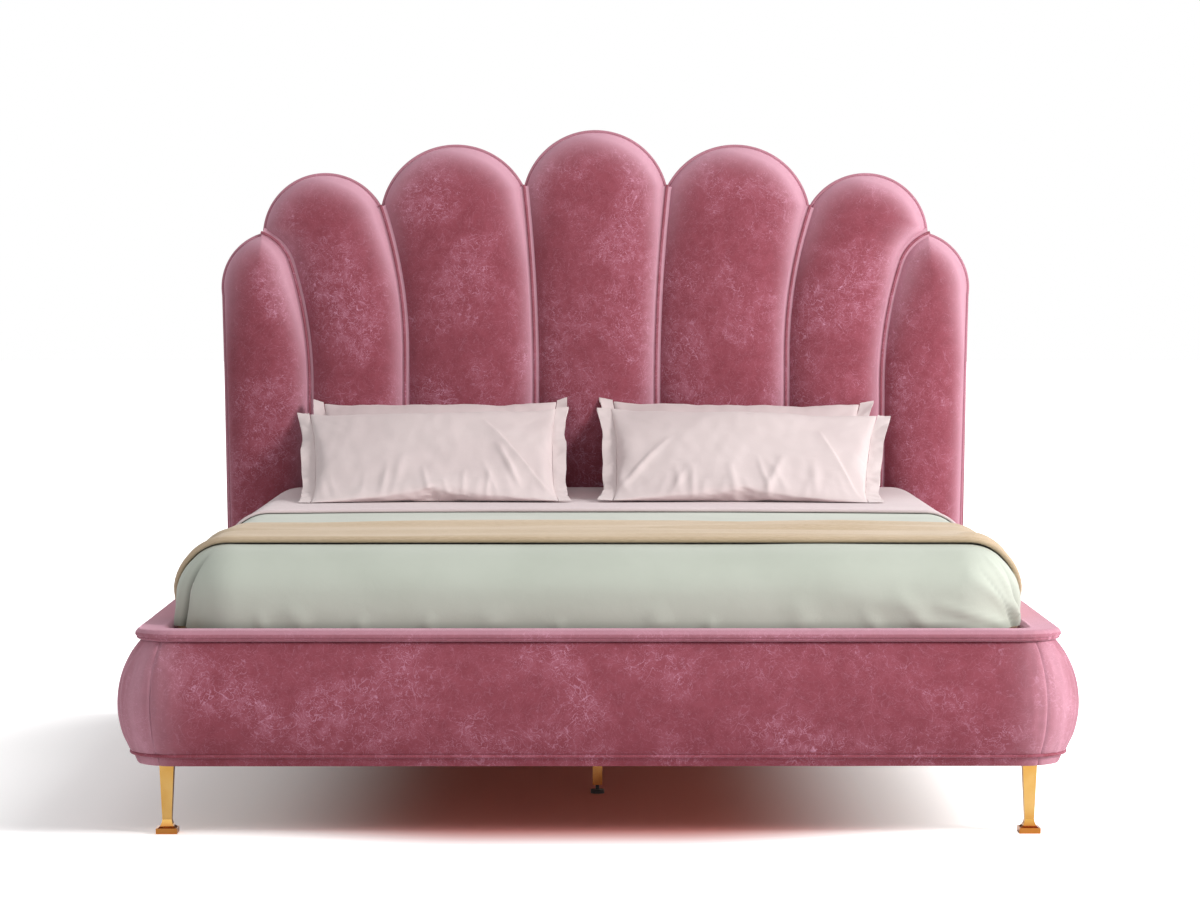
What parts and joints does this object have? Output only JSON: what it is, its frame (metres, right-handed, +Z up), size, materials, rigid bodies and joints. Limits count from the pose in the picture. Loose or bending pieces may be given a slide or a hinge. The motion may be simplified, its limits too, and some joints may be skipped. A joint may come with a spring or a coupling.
{
  "type": "double bed",
  "caption": "Upholstered double bed with a scalloped, fluted velvet headboard, barrel-sided base on tapered gold legs, slats, mattress, bedding and leaning pillows.",
  "frame": {"origin": "on the floor under the middle of the bed's length and width", "axes": "+Z up, +Y from the foot end towards the headboard, +X to the right for someone who faces the headboard"},
  "size_m": [1.8408, 2.2396, 1.427],
  "materials": {
    "velvet": "dusty rose velvet with a soft sheen",
    "piping": "velvet-covered piping cord",
    "back_cloth": "rose cloth stretched over board",
    "timber": "planed softwood",
    "plywood": "birch plywood",
    "gold_metal": "polished gold",
    "zinc_steel": "zinc plated",
    "black_plastic": "moulded black plastic",
    "ticking": "woven mattress cloth",
    "sage_cotton": "soft washed cotton",
    "tan_wool": "fine wool with a slight nap",
    "pink_cotton": "smooth cotton",
    "blush_cotton": "smooth cotton with a soft sheen"
  },
  "bodies": {
    "bed": {"bedspread": "sage_cotton", "blanket": "tan_wool", "centre_beam": "timber", "flute_welts": "piping", "foot_base_welt": "piping", "foot_beam_hanger": "zinc_steel", "foot_pad": "velvet", "foot_rail": "timber", "foot_rim_roll": "velvet", "front_centre_leg": "gold_metal", "head_beam_hanger": "zinc_steel", "head_rail": "timber", "headboard_back_board": "back_cloth", "headboard_bolts": "zinc_steel", "headboard_edge_band": "velvet", "headboard_edge_welt": "piping", "headboard_flute_1": "velvet", "headboard_flute_2": "velvet", "headboard_flute_3": "velvet", "headboard_flute_4": "velvet", "headboard_flute_5": "velvet", "headboard_flute_6": "velvet", "headboard_flute_7": "velvet", "headboard_front_board": "plywood", "headboard_lower_rail": "timber", "headboard_upper_rail": "timber", "left_front_corner_block": "timber", "left_front_leg": "gold_metal", "left_headboard_stile": "timber", "left_ledger": "timber", "left_rear_corner_block": "timber", "left_rear_leg": "gold_metal", "left_side_base_welt": "piping", "left_side_pad": "velvet", "left_side_rail": "timber", "left_side_rim_roll": "velvet", "left_slat_caps": "black_plastic", "mattress": "ticking", "rear_centre_leg": "gold_metal", "right_front_corner_block": "timber", "right_front_leg": "gold_metal", "right_headboard_stile": "timber", "right_ledger": "timber", "right_rear_corner_block": "timber", "right_rear_leg": "gold_metal", "right_side_base_welt": "piping", "right_side_pad": "velvet", "right_side_rail": "timber", "right_side_rim_roll": "velvet", "right_slat_caps": "black_plastic", "slats": "plywood", "top_sheet": "pink_cotton"},
    "front_leveller": {"front_levelling_foot": "black_plastic"},
    "rear_leveller": {"rear_levelling_foot": "black_plastic"},
    "pillow_back_left": {"left_back_pillow": "blush_cotton"},
    "pillow_front_left": {"left_front_pillow": "blush_cotton"},
    "pillow_back_right": {"right_back_pillow": "blush_cotton"},
    "pillow_front_right": {"right_front_pillow": "blush_cotton"}
  },
  "joints": [
    {"name": "front_leveller_screw", "type": "slide", "parent": "bed", "child": "front_leveller", "axis": [0, 0, 1], "range_m": [0, 0.01]},
    {"name": "rear_leveller_screw", "type": "slide", "parent": "bed", "child": "rear_leveller", "axis": [0, 0, 1], "range_m": [0, 0.01]},
    {"name": "left_back_pillow_lift", "type": "slide", "parent": "bed", "child": "pillow_back_left", "axis": [0, 0, 1], "range_m": [0, 0.3]},
    {"name": "left_front_pillow_lift", "type": "slide", "parent": "pillow_back_left", "child": "pillow_front_left", "axis": [0, 0, 1], "range_m": [0, 0.3]},
    {"name": "right_back_pillow_lift", "type": "slide", "parent": "bed", "child": "pillow_back_right", "axis": [0, 0, 1], "range_m": [0, 0.3]},
    {"name": "right_front_pillow_lift", "type": "slide", "parent": "pillow_back_right", "child": "pillow_front_right", "axis": [0, 0, 1], "range_m": [0, 0.3]}
  ]
}
